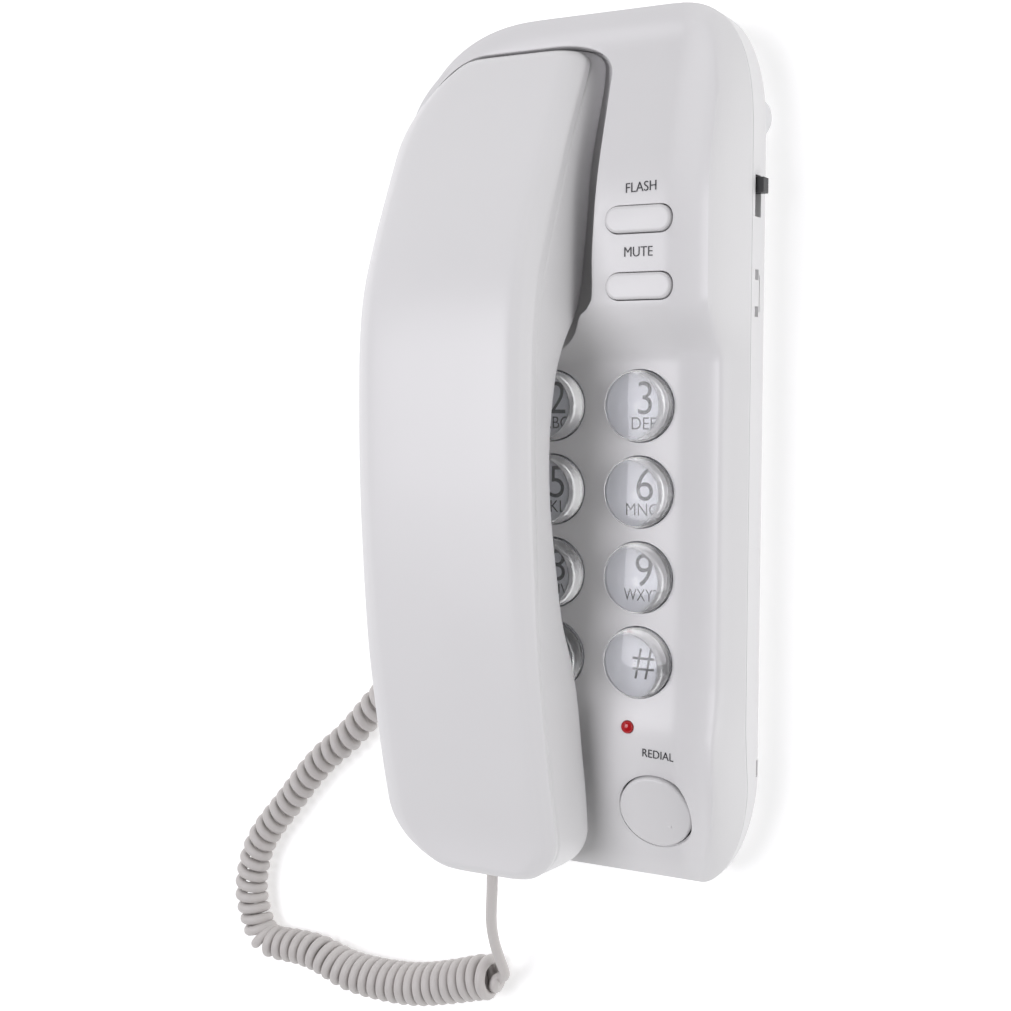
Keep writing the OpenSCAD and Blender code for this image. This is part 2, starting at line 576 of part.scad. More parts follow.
// ---- cord ----
// Centres of the coiled length, as [x, y, outer diameter], lying on the surface
coil_route = [[-56, -61, 9.2], [-62.4, -66.7, 9.2], [-72.8, -78, 9.2], [-82.9, -86.8, 9.2],
    [-93.2, -98.9, 9.2], [-103.2, -111.8, 9.6], [-106.9, -124.2, 10], [-105.7, -133.4, 10],
    [-101.5, -140.3, 10], [-90.1, -140.8, 10.4], [-83, -141.3, 11], [-72.6, -144, 11.8],
    [-62.3, -144.5, 12.2], [-51, -143.7, 12.4], [-40.4, -141.1, 12.4], [-29.6, -137.6, 12.8],
    [-24.9, -137.2, 13.2]];
// Straight lengths at the two ends
base_tail = [[-45.3, -45, 14.1], [-46.6, -45, 14.1], [-48.9, -45.4, 13.6], [-51.5, -47, 11.8],
    [-53, -50.5, 9], [-53, -54.5, 6.6], [-53.6, -58, 5.3], [-55.4, -60.45, 4.75]];
handset_tail = [[-17.75, -99.8, 24.1], [-17.75, -101.3, 24.1], [-18, -104.5, 23.8], [-18.6, -108.5, 22.8],
    [-20, -113, 20.6], [-21.6, -119, 17.5], [-22.4, -125, 14.2], [-22.3, -131, 11], [-22.3, -135, 8.6],
    [-24.1, -136.9, 6.9]];
module curly_cord() {
    color(cord_grey) tube([for (p = coil_route) [p[0], p[1], p[2] / 2 + 0.1]],
        [for (p = coil_route) p[2] / 2], 12);
}
module cord_tail_base() {
    color(cord_grey) tube(base_tail, [for (p = base_tail) cord_d / 2], 8);
}
module cord_tail_handset() {
    color(cord_grey) tube(handset_tail, [for (p = handset_tail) cord_d / 2], 8);
}
// Plug with its boot, its outer face at y = 0
module plug() {
    translate([-socket_w / 2 + 0.3, -8, -socket_h / 2 + 0.3]) cube([socket_w - 0.6, 8, socket_h - 0.6]);
}
module cord_plug_base() {
    color([0.7, 0.72, 0.74]) translate([-half_w - 0.25, base_jack_y, floor_z + 0.1 + jack_h / 2])
        rotate([0, 0, 90]) plug();
}
module cord_plug_handset() {
    color([0.7, 0.72, 0.74]) translate([hs_x, hs_bottom - 0.2, hs_jack_z + jack_h / 2])
        rotate([0, 0, 180]) plug();
}

base_top_cover();
base_back_cover();
rubber_feet();
for (i = [0:11]) key_body(i);
for (i = [0:11]) key_cap(i);
flash_button();
mute_button();
redial_button();
status_led();
keypad_membrane();
main_pcb();
ringer_speaker();
line_jack();
base_cord_jack();
hook_plunger();
hook_spring();
hook_switch();
ringer_switch();
ringer_switch_knob();
base_screws();
pcb_screws();
handset_back_shell();
handset_front_shell();
handset_screws();
handset_cord_jack();
earpiece_speaker();
microphone();
handset_weight();
curly_cord();
cord_tail_base();
cord_tail_handset();
cord_plug_base();
cord_plug_handset();
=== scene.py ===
"""Looks of a slim corded telephone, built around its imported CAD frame.

Shapes are worked out in millimetres, as in the CAD source, and scaled by MM; routes and light are in metres.
"""
import math

import bmesh
import bpy
import numpy as np
from mathutils import Matrix, Vector


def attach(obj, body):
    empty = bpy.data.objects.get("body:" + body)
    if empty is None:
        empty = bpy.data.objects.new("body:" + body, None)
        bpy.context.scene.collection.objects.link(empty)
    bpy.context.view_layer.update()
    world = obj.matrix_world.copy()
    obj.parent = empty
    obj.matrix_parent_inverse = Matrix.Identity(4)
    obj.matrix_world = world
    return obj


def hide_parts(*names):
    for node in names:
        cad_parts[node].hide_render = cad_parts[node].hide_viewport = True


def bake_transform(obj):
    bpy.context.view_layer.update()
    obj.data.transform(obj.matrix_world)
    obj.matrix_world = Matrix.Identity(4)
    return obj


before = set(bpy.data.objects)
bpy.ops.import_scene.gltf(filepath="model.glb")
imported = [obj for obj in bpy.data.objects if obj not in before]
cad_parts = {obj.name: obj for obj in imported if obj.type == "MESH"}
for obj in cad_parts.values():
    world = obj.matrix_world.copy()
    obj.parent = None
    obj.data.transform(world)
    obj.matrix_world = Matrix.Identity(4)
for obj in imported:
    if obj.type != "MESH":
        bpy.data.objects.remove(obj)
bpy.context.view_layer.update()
MM = 0.001


# ---- camera ----
def make_camera():
    """The photograph's view: from the right side, a little above the middle, close to the object."""
    yaw, pitch = math.radians(28.0), math.radians(4.55)
    back = Vector((math.sin(yaw) * math.cos(pitch), math.sin(pitch), math.cos(yaw) * math.cos(pitch)))
    right = Vector((math.cos(yaw), 0, -math.sin(yaw)))
    up = back.cross(right)
    data = bpy.data.cameras.new("camera")
    data.sensor_width = 36.0
    data.lens = 53.24
    camera = bpy.data.objects.new("camera", data)
    camera.matrix_world = Matrix.Translation((0.15497, 0.01749, 0.34210)) @ Matrix(
        (right, up, back)).transposed().to_4x4()
    bpy.context.scene.collection.objects.link(camera)
    bpy.context.scene.camera = camera


make_camera()


# ---- curves and meshes ----
def ease(lo, hi, v):
    t = np.clip((np.asarray(v, float) - lo) / (hi - lo), 0, 1)
    return t * t * (3 - 2 * t)


def mix(a, b, t):
    return a + (b - a) * t


def curve(table, v):
    """A smooth curve through rising (position, value) rows, as in the CAD source."""
    x, y = np.array(table, float).T
    v = np.clip(np.asarray(v, float), x[0], x[-1])
    slope = np.empty_like(y)
    slope[1:-1] = (y[2:] - y[:-2]) / (x[2:] - x[:-2])
    slope[0], slope[-1] = (y[1] - y[0]) / (x[1] - x[0]), (y[-1] - y[-2]) / (x[-1] - x[-2])
    i = np.clip(np.searchsorted(x, v, side="right") - 1, 0, len(x) - 2)
    w = x[i + 1] - x[i]
    t = (v - x[i]) / w
    t2, t3 = t * t, t * t * t
    return ((2 * t3 - 3 * t2 + 1) * y[i] + (t3 - 2 * t2 + t) * w * slope[i]
            + (3 * t2 - 2 * t3) * y[i + 1] + (t3 - t2) * w * slope[i + 1])


def corner_in(t, reach, over, power):
    """How far a rounded corner has come in, t past its start."""
    u = np.clip(np.asarray(t, float) / over, 0, 1)
    return reach * (1 - (1 - u ** power) ** (1 / power))


def new_object(name, points, faces, smooth=True, sharp=None):
    mesh = bpy.data.meshes.new(name)
    mesh.from_pydata([tuple(p) for p in points], [], faces)
    mesh.validate()
    mesh.update()
    obj = bpy.data.objects.new(name, mesh)
    bpy.context.scene.collection.objects.link(obj)
    mesh.polygons.foreach_set("use_smooth", [smooth] * len(mesh.polygons))
    if sharp is not None:
        mesh.set_sharp_from_angle(angle=math.radians(sharp))
    return obj


def loft(name, rings, closed=True, caps=True, **shade):
    """Mesh through rings of equal length, given in millimetres; each ring closes on itself."""
    rings = np.array(rings, float)
    m, n, _ = rings.shape
    faces = []
    for i in range(m - 1):
        for j in range(n if closed else n - 1):
            k = (j + 1) % n
            faces.append((i * n + j, i * n + k, (i + 1) * n + k, (i + 1) * n + j))
    if caps:
        faces.append(tuple(range(n - 1, -1, -1)))
        faces.append(tuple((m - 1) * n + j for j in range(n)))
    obj = new_object(name, rings.reshape(-1, 3) * MM, faces, **shade)
    outward(obj)
    return obj


def outward(obj):
    """Points the faces' normals outwards."""
    work = bmesh.new()
    work.from_mesh(obj.data)
    bmesh.ops.recalc_face_normals(work, faces=work.faces)
    work.to_mesh(obj.data)
    work.free()


def revolve(name, profile, centre=(0, 0, 0), tilt=0.0, steps=96, **shade):
    """Solid of revolution about Z through centre, from (radius, height) rows; tilt turns it about X."""
    points, faces = [], []
    rows = []
    for r, z in profile:
        if r < 1e-6:
            rows.append([len(points)])
            points.append((0, 0, z))
        else:
            rows.append(list(range(len(points), len(points) + steps)))
            points += [(r * math.cos(2 * math.pi * k / steps), r * math.sin(2 * math.pi * k / steps), z)
                       for k in range(steps)]
    for a, b in zip(rows, rows[1:]):
        for k in range(steps):
            l = (k + 1) % steps
            quad = [a[k % len(a)], a[l % len(a)], b[l % len(b)], b[k % len(b)]]
            faces.append(tuple(dict.fromkeys(quad)))
    turn = Matrix.Rotation(tilt, 3, "X")
    place = Vector(centre)
    obj = new_object(name, [(turn @ Vector(p) + place) * MM for p in points], faces, **shade)
    outward(obj)
    return obj


def dome_rows(radius, height, edge, crown, steps=8):
    """Profile of a round button: an upright side, a rounded edge and a slightly crowned top."""
    rows = [(radius, 0.0), (radius, height - edge)]
    for k in range(1, steps + 1):
        a = math.pi / 2 * k / steps
        rows.append((radius - edge + edge * math.cos(a), height - edge + edge * math.sin(a)))
    for k in range(1, steps + 1):
        f = 1 - k / steps
        rows.append(((radius - edge) * f, height + crown * (1 - f * f)))
    return rows


def boolean(obj, cutter, operation="DIFFERENCE"):
    """Cuts obj by cutter, and deletes the cutter."""
    mod = obj.modifiers.new("cut", "BOOLEAN")
    mod.operation, mod.solver, mod.object = operation, "EXACT", cutter
    bpy.context.view_layer.update()
    result = bpy.data.meshes.new_from_object(obj.evaluated_get(bpy.context.evaluated_depsgraph_get()))
    obj.modifiers.clear()
    obj.data = result
    bpy.data.objects.remove(cutter)
    return obj


def join(name, parts):
    """One object from several, with their own materials kept."""
    bpy.context.view_layer.update()
    with bpy.context.temp_override(active_object=parts[0], object=parts[0], selected_objects=parts,
                                   selected_editable_objects=parts):
        bpy.ops.object.join()
    parts[0].name = name
    return parts[0]


def smooth_route(points, step):
    """Points about step apart on a smooth curve through the given points."""
    p = np.array(points, float)
    ext = np.vstack([2 * p[0] - p[1], p, 2 * p[-1] - p[-2]])
    out = []
    for i in range(1, len(ext) - 2):
        a, b, c, d = ext[i - 1:i + 3]
        n = max(2, int(np.linalg.norm(c[:3] - b[:3]) / step))
        t = np.linspace(0, 1, n, endpoint=False)[:, None]
        out.append(0.5 * (2 * b + (c - a) * t + (2 * a - 5 * b + 4 * c - d) * t ** 2
                          + (3 * b - a - 3 * c + d) * t ** 3))
    return np.vstack(out + [p[-1:]])


# ---- materials ----
def material(name, colour, rough, grain=(0.0, 1.0), mottle=0.02, rough_vary=0.05, **sockets):
    """Moulded surface: a base colour with faint variation, uneven gloss, and a fine grain in its bump."""
    mat = bpy.data.materials.new(name)
    mat.use_nodes = True
    nodes, links = mat.node_tree.nodes, mat.node_tree.links
    shader = nodes["Principled BSDF"]
    place = nodes.new("ShaderNodeTexCoord")
    soft = nodes.new("ShaderNodeTexNoise")
    soft.inputs["Scale"].default_value = 45.0
    soft.inputs["Detail"].default_value = 4.0
    links.new(place.outputs["Object"], soft.inputs["Vector"])
    tint = nodes.new("ShaderNodeMix")
    tint.data_type = "RGBA"
    tint.inputs[6].default_value = (*[c * (1 - mottle) for c in colour], 1)
    tint.inputs[7].default_value = (*[min(1, c * (1 + mottle)) for c in colour], 1)
    links.new(soft.outputs["Fac"], tint.inputs["Factor"])
    links.new(tint.outputs[2], shader.inputs["Base Color"])
    gloss = nodes.new("ShaderNodeMapRange")
    gloss.inputs["To Min"].default_value = rough - rough_vary
    gloss.inputs["To Max"].default_value = rough + rough_vary
    links.new(soft.outputs["Fac"], gloss.inputs["Value"])
    links.new(gloss.outputs["Result"], shader.inputs["Roughness"])
    depth, scale = grain
    if depth:
        fine = nodes.new("ShaderNodeTexNoise")
        fine.inputs["Scale"].default_value = scale
        fine.inputs["Detail"].default_value = 3.0
        links.new(place.outputs["Object"], fine.inputs["Vector"])
        bump = nodes.new("ShaderNodeBump")
        bump.inputs["Strength"].default_value = 0.25
        bump.inputs["Distance"].default_value = depth
        links.new(fine.outputs["Fac"], bump.inputs["Height"])
        links.new(bump.outputs["Normal"], shader.inputs["Normal"])
    for key, value in sockets.items():
        shader.inputs[key.replace("_", " ")].default_value = value
    return mat


MATERIALS = {
    "shell": material("shell", (0.72, 0.715, 0.72), 0.4, grain=(0.00004, 2600.0), mottle=0.012),
    "inside": material("inside", (0.55, 0.55, 0.57), 0.5, grain=(0.00004, 2600.0)),
    "button": material("button", (0.7, 0.695, 0.7), 0.36, grain=(0.00003, 3000.0), mottle=0.012),
    "label": material("label", (0.93, 0.94, 0.99), 0.45, grain=(0.00002, 3000.0)),
    "ink": material("ink", (0.03, 0.03, 0.035), 0.5, grain=(0.00001, 3000.0)),
    "clear": material("clear", (0.985, 0.988, 1.0), 0.06, mottle=0.01, rough_vary=0.02,
                      Transmission_Weight=0.93, IOR=1.42),
    "foot": material("foot", (0.72, 0.72, 0.73), 0.55, grain=(0.00006, 1800.0)),
    "cord": material("cord", (0.57, 0.545, 0.53), 0.5, grain=(0.00003, 2500.0), mottle=0.03),
    "plug": material("plug", (0.75, 0.78, 0.8), 0.12, Transmission_Weight=0.6, IOR=1.5),
    "black": material("black", (0.015, 0.015, 0.017), 0.42, grain=(0.00004, 2400.0), mottle=0.15),
    "led": material("led", (0.42, 0.006, 0.01), 0.16, mottle=0.08),
    "silicone": material("silicone", (0.52, 0.53, 0.55), 0.6, grain=(0.00005, 1500.0)),
    "board": material("board", (0.02, 0.16, 0.07), 0.35, grain=(0.00008, 500.0), mottle=0.2),
    "steel": material("steel", (0.55, 0.55, 0.57), 0.32, grain=(0.00003, 2200.0), Metallic=1.0),
    "speaker": material("speaker", (0.04, 0.04, 0.045), 0.6, grain=(0.00008, 1200.0), mottle=0.2),
}


def dress(obj, name):
    obj.data.materials.clear()
    obj.data.materials.append(MATERIALS[name])
    return obj


# ---- cord ----
CORD_D = 2.8
# Routes in metres: the coil's middle in plan with its outer diameter, then the two straight ends
COIL = [(-0.056, -0.061, 0.0092), (-0.0624, -0.0667, 0.0092), (-0.0728, -0.078, 0.0092),
        (-0.0829, -0.0868, 0.0092), (-0.0932, -0.0989, 0.0092), (-0.1032, -0.1118, 0.0096),
        (-0.1069, -0.1242, 0.01), (-0.1057, -0.1334, 0.01), (-0.1015, -0.1403, 0.01),
        (-0.0901, -0.1408, 0.0104), (-0.083, -0.1413, 0.011), (-0.0726, -0.144, 0.0118),
        (-0.0623, -0.1445, 0.0122), (-0.051, -0.1437, 0.0124), (-0.0404, -0.1411, 0.0124),
        (-0.0296, -0.1376, 0.0128), (-0.0249, -0.1372, 0.0132)]
BASE_TAIL = [(-0.0453, -0.045, 0.0141), (-0.0466, -0.045, 0.0141), (-0.0489, -0.0454, 0.0136),
             (-0.0515, -0.047, 0.0118), (-0.053, -0.0505, 0.009), (-0.053, -0.0545, 0.0066),
             (-0.0536, -0.058, 0.0053), (-0.0554, -0.06045, 0.00475)]
HANDSET_TAIL = [(-0.01775, -0.0998, 0.0241), (-0.01775, -0.1013, 0.0241), (-0.018, -0.1045, 0.0238),
                (-0.0186, -0.1085, 0.0228), (-0.02, -0.113, 0.0206), (-0.0216, -0.119, 0.0175),
                (-0.0224, -0.125, 0.0142), (-0.0223, -0.131, 0.011), (-0.0223, -0.135, 0.0086),
                (-0.0241, -0.1369, 0.0069)]
# Distance between turns: open at first, close in the bend, closest in the last length
PITCH = [(0.0, 3.85), (0.42, 3.7), (0.52, 3.2), (0.7, 3.1), (0.8, 2.95), (1.0, 2.9)]


def helix():
    """Centreline of the coiled length, and its share of the way along, both dense."""
    axis = smooth_route(np.array(COIL) / MM, 0.25)
    centre = np.column_stack([axis[:, 0], axis[:, 1], axis[:, 2] / 2 + 0.1])
    seg = np.linalg.norm(np.diff(centre, axis=0), axis=1)
    along = np.concatenate([[0], np.cumsum(seg)])
    pitch = np.interp(along / along[-1], *np.array(PITCH).T)
    turns = np.concatenate([[0], np.cumsum(seg / ((pitch[1:] + pitch[:-1]) / 2))])
    count = round(turns[-1] * 2) / 2
    turns *= count / turns[-1]
    steps = int(count * 26)
    phase = np.linspace(0, count, steps + 1)
    s = np.interp(phase, turns, along)
    c = np.column_stack([np.interp(s, along, centre[:, k]) for k in range(3)])
    radius = np.interp(s, along, axis[:, 2] / 2) - CORD_D / 2
    t = np.gradient(c, axis=0)
    t /= np.linalg.norm(t, axis=1)[:, None]
    side = np.cross(t, (0, 0, 1.0))
    side /= np.linalg.norm(side, axis=1)[:, None]
    rise = np.cross(side, t)
    # The first and last turns open out from the cord's straight ends
    radius = radius * ease(-0.15, 1.0, np.minimum(phase, count - phase))
    a = 2 * math.pi * phase
    return c + radius[:, None] * (np.cos(a)[:, None] * side + np.sin(a)[:, None] * rise)


def tube(name, path, radius, sides=12, flat=1.0):
    """Round tube along a dense path, in millimetres, capped flat at both ends."""
    path = np.array(path, float)
    t = np.gradient(path, axis=0)
    t /= np.linalg.norm(t, axis=1)[:, None]
    u = np.cross(t[0], (0.3, 0.5, 0.8))
    u /= np.linalg.norm(u)
    rings = []
    for p, d in zip(path, t):
        u = u - d * u.dot(d)
        u /= np.linalg.norm(u)
        w = np.cross(d, u)
        a = np.linspace(0, 2 * math.pi, sides, endpoint=False)[:, None]
        rings.append(p + radius * (np.cos(a) * u * flat + np.sin(a) * w))
    return loft(name, rings)


def make_cord():
    turns = helix()
    start = smooth_route(np.array(BASE_TAIL) / MM, 0.8)
    end = smooth_route(np.array(HANDSET_TAIL) / MM, 0.8)[::-1]
    path = np.vstack([start[:-1], turns, end[1:]])
    # Even out the joins between the coil and the straight ends
    for _ in range(6):
        path[1:-1] = (path[:-2] + 2 * path[1:-1] + path[2:]) / 4
    path[:, 2] = np.maximum(path[:, 2], CORD_D / 2 + 0.05)
    run = np.concatenate([[0], np.cumsum(np.linalg.norm(np.diff(path, axis=0), axis=1))])
    even = np.linspace(0, run[-1], len(path))
    path = np.column_stack([np.interp(even, run, path[:, k]) for k in range(3)])
    cord = dress(tube("curly_cord_full", path, CORD_D / 2), "cord")
    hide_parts("curly_cord", "cord_tail_base", "cord_tail_handset")
    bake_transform(cord)


make_cord()


# ---- base outline and face, in millimetres, as in the CAD source ----
HALF_W, TOP, BOTTOM, FACE_Z, WALL = 45.0, 104.0, -100.0, 21.0, 2.2
CORNER_TR, CORNER_TL, CORNER_LOW = (20, 32, 2.7), (38, 42, 2.4), (12, 26, 1.8)


def side_edge(y, top, inset):
    return (HALF_W - inset - corner_in(y - (TOP - top[1]), top[0] - inset, top[1] - inset, top[2])
            - corner_in(BOTTOM + CORNER_LOW[1] - y, CORNER_LOW[0] - inset, CORNER_LOW[1] - inset, CORNER_LOW[2]))


def right_edge(y, inset=0.0):
    return side_edge(y, CORNER_TR, inset)


def left_edge(y, inset=0.0):
    return -side_edge(y, CORNER_TL, inset)


def top_edge(x):
    return (TOP - corner_in(x - (HALF_W - CORNER_TR[0]), CORNER_TR[1], CORNER_TR[0], CORNER_TR[2])
            - corner_in(-x - (HALF_W - CORNER_TL[0]), CORNER_TL[1], CORNER_TL[0], CORNER_TL[2]))


def bottom_edge(x):
    return BOTTOM + corner_in(np.abs(x) - (HALF_W - CORNER_LOW[0]), CORNER_LOW[1], CORNER_LOW[0], CORNER_LOW[2])


def seam_z(y):
    return np.where(np.asarray(y) > -62, 18.0, curve([(-101, 12.9), (-81, 15.4), (-62, 18)], y))


RIM = [(-101, 3), (-90, 5.4), (-76, 6), (-53, 4.5), (-30, 4.2), (105, 4.5)]
CHIN = [(-101, 14.3), (-93, 16), (-83, 18.6), (-73, 21.3), (-63, 22.5), (-57, 21.6), (-51, FACE_Z)]
VALLEY = [(-101, 14.3), (-83, 16), (-71, 17.6), (-63, 19.2), (-56, 20.8), (-51, FACE_Z)]


def hump(x, y):
    return 8.0 * ease(23, 37, y) * (1 - ease(57, 97, y)) * ease(-20, -5, x)


def face_at(x, y):
    low = mix(curve(VALLEY, y), curve(CHIN, y), ease(3, 15, x))
    level = np.where(np.asarray(y) > -51, FACE_Z, low)
    return level + curve(RIM, y) * ease(28, 40, x) + hump(x, y) - 1.5 * ease(84, 98, y)


def depth_in(x, y):
    h = np.maximum(0, np.minimum(right_edge(y) - x, x - left_edge(y)))
    v = np.maximum(0, np.minimum(top_edge(x) - y, y - bottom_edge(x)))
    return h * v / np.maximum(1e-6, np.hypot(h, v))


def top_at(x, y):
    t = np.minimum(1, depth_in(x, y) / 4.6)
    low = seam_z(y) + 0.4
    return mix(low, face_at(x, y), 1 - (1 - t) ** 1.6)


def rows_along(lo, hi, step, fine):
    """Positions from lo to hi, closer together near both ends."""
    ends = np.concatenate([np.linspace(0, 1, 12) ** 1.8 * fine])
    middle = np.arange(lo + fine + step, hi - fine - step / 2, step)
    return np.concatenate([lo + ends, middle, (hi - ends)[::-1]])


def base_rings():
    steps = np.concatenate([[0], np.linspace(0, 1, 14)[1:] ** 1.4 * 5.2])
    middle = np.linspace(0, 1, 60)[1:-1]
    rings = []
    for y in rows_along(BOTTOM, TOP, 1.5, 7.0):
        l, r = float(left_edge(y)), float(right_edge(y))
        xs = np.concatenate([l + steps, mix(l + 5.2, r - 5.2, middle), (r - steps)[::-1]])
        ring = [(x, y, z) for x, z in zip(xs, top_at(xs, np.full_like(xs, y)))]
        low = float(seam_z(y)) + 0.12
        rings.append(ring + [(r, y, low), (r - 0.35, y, low - 0.12), (l + 0.35, y, low - 0.12), (l, y, low)])
    return rings


def outline(inset):
    """The base's plan as a closed loop of points."""
    share = (rows_along(BOTTOM, TOP, 2.0, 8.0) - BOTTOM) / (TOP - BOTTOM)
    ys = mix(BOTTOM + inset, TOP - inset, share)
    return ([(float(right_edge(y, inset)), y) for y in ys] + [(float(left_edge(y, inset)), y) for y in ys[::-1]])


def side_block(name, x0, x1, side):
    """Solid with a side view of (y, z) points, from x0 to x1."""
    return loft(name, [[(x, y, z) for y, z in side] for x in (x0, x1)])


# ---- ear well ----
WELL_FLOOR = [(105, 12.2), (94, 12.2), (38, 16.2), (24, 21.6), (17, 21.7), (17, 60), (105, 60)]
# Right wall of the well from its lower end upwards; its top, its left side and its lower end
WELL_RIGHT = [(-8, 22), (3, 28.5), (7.2, 33.9), (10.4, 37), (10.6, 48), (11.4, 62), (11.9, 82), (12.05, 88.5)]
WELL_TOP, WELL_LEFT, WELL_END = 97.0, -42.3, 22.0


def well_plan(grow):
    a, b, ca, cb, n = 21 + grow, 25 + grow, 16 + grow, 8.5 + grow, 2.3
    right, top, left = WELL_RIGHT[-1][0] + grow, WELL_TOP + grow, WELL_LEFT - grow
    wall = smooth_route([(x, y, 0) for x, y in WELL_RIGHT], 1.5)
    loop = [(p[0] + grow, p[1] - grow * (p[1] < 35)) for p in wall]
    loop += [(right - ca + ca * math.cos(t) ** (2 / n), top - cb + cb * math.sin(t) ** (2 / n))
             for t in np.linspace(0.08, math.pi / 2, 20)]
    loop += [(left + a + a * math.cos(t), top - b + b * math.sin(t))
             for t in np.linspace(math.pi / 2, math.pi, 30)[1:]]
    return loop + [(left, 50.0), (left, WELL_END - grow)]


def well_tub():
    """The well with its walls and floor, up to just under the face."""
    rings = [[(x, y, 4.0) for x, y in well_plan(1.6)],
             [(x, y, float(face_at(x, y)) - 0.8) for x, y in well_plan(1.6)]]
    return boolean(loft("tub", rings), side_block("tub_floor", -60, 60, [(y, z - 1.9) for y, z in WELL_FLOOR]),
                   "INTERSECT")


def well_cutter():
    """Space of the ear well, its upper edge flared into a small round."""
    flare = [(0, -14), (0, -0.55), (0.03, -0.3), (0.12, -0.12), (0.27, -0.03), (0.42, 0.03), (0.45, 1.0),
             (0.45, 20)]
    rings = []
    for grow, rise in flare:
        rings.append([(x, y, float(face_at(x, y)) + rise) for x, y in well_plan(grow)])
    return boolean(loft("well", rings), side_block("over_floor", -60, 60, WELL_FLOOR), "INTERSECT")


# ---- places on the face ----
KEYS = ["1", "2", "3", "4", "5", "6", "7", "8", "9", "star", "0", "hash"]
LETTERS = ["", "ABC", "DEF", "GHI", "JKL", "MNO", "PQRS", "TUV", "WXYZ", "", "", ""]
FLASH, MUTE, LED = (22.3, 54.9), (22.5, 40.0), (17.5, -62.4)
REDIAL, REDIAL_TILT = (23.5, -82.7, 18.6), math.atan(0.3)
KEY_R, LABEL_Z = 8.3, 21.2


def key_place(i):
    return 19.5 - 22.5 * (2 - i % 3), 13.0 - 20.0 * (i // 3)


def hole_rows(radius, depth, lip=0.15):
    """Cutter for a round hole whose edge is rounded by lip, from below up past the surface."""
    rows = [(0.0, -depth), (radius, -depth), (radius, -lip)]
    rows += [(radius + lip * (1 - math.cos(a)), -lip + lip * math.sin(a))
             for a in np.linspace(0.2, 1.45, 5)]
    return rows + [(radius + lip + 0.03, 0.3), (radius + lip + 0.03, 12), (0.0, 12)]


def stadium(width, height, steps=16):
    """Loop of a pill shape lying along X."""
    r, s = height / 2, (width - height) / 2
    right = [(s + r * math.cos(t), r * math.sin(t)) for t in np.linspace(-math.pi / 2, math.pi / 2, steps)]
    return right + [(-x, -y) for x, y in right]


def pill_solid(name, place, rows):
    """Pill-shaped solid; rows are (growth of the outline, height)."""
    return loft(name, [[(place[0] + x, place[1] + y, z) for x, y in stadium(16 + 2 * g, 5.9 + 2 * g)]
                       for g, z in rows], sharp=40)


def make_top_cover():
    cover = loft("top_cover", base_rings())
    inner = loft("hollow", [[(x, y, z) for x, y in outline(WALL)] for z in (5.0, 18.75)])
    boolean(inner, side_block("under_face", -60, 60, [
        (104, 4), (104, 18.8), (-57.5, 18.8), (-64, 17), (-72, 15.2), (-84, 13.4), (-96, 12),
        (-96, 4)]), "INTERSECT")
    boolean(cover, inner)
    boolean(cover, side_block("under_hump", 13.6, 38.5, [
        (20, 18), (28, 20.4), (32, 23), (37, 26.4), (57, 26.4), (64, 25.6), (72, 23.4), (82, 20.8), (92, 18)]))
    boolean(cover, side_block("under_chin", 16, 38, [
        (-50, 18), (-56, 19.2), (-63, 20), (-72, 19), (-83, 16.2), (-92, 13.8), (-92, 10), (-50, 10)]))
    boolean(cover, well_tub(), "UNION")
    boolean(cover, well_cutter())
    boolean(cover, revolve("redial_recess", [(0, -8), (11, -8), (11, -1.5), (0, -1.5)], REDIAL, REDIAL_TILT))
    cutters = [revolve(f"hole_{i}", hole_rows(KEY_R + 0.2, 6), (*key_place(i), FACE_Z)) for i in range(12)]
    cutters.append(revolve("hole_redial", hole_rows(9.4, 9, 0.25), REDIAL, REDIAL_TILT))
    cutters.append(revolve("hole_led", hole_rows(1.6, 6), (*LED, float(face_at(*LED))), steps=32))
    for place in (FLASH, MUTE):
        z = float(face_at(*place))
        cutters.append(pill_solid("hole_pill", place, [
            (0.25, z - 7), (0.25, z - 0.2), (0.28, z - 0.08), (0.36, z + 0.02), (0.4, z + 0.1), (0.4, z + 4)]))
    boolean(cover, join("holes", cutters))
    cover.data.polygons.foreach_set("use_smooth", [True] * len(cover.data.polygons))
    cover.data.set_sharp_from_angle(angle=math.radians(32))
    dress(cover, "shell")
    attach(cover, "base")
    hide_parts("base_top_cover")


make_top_cover()


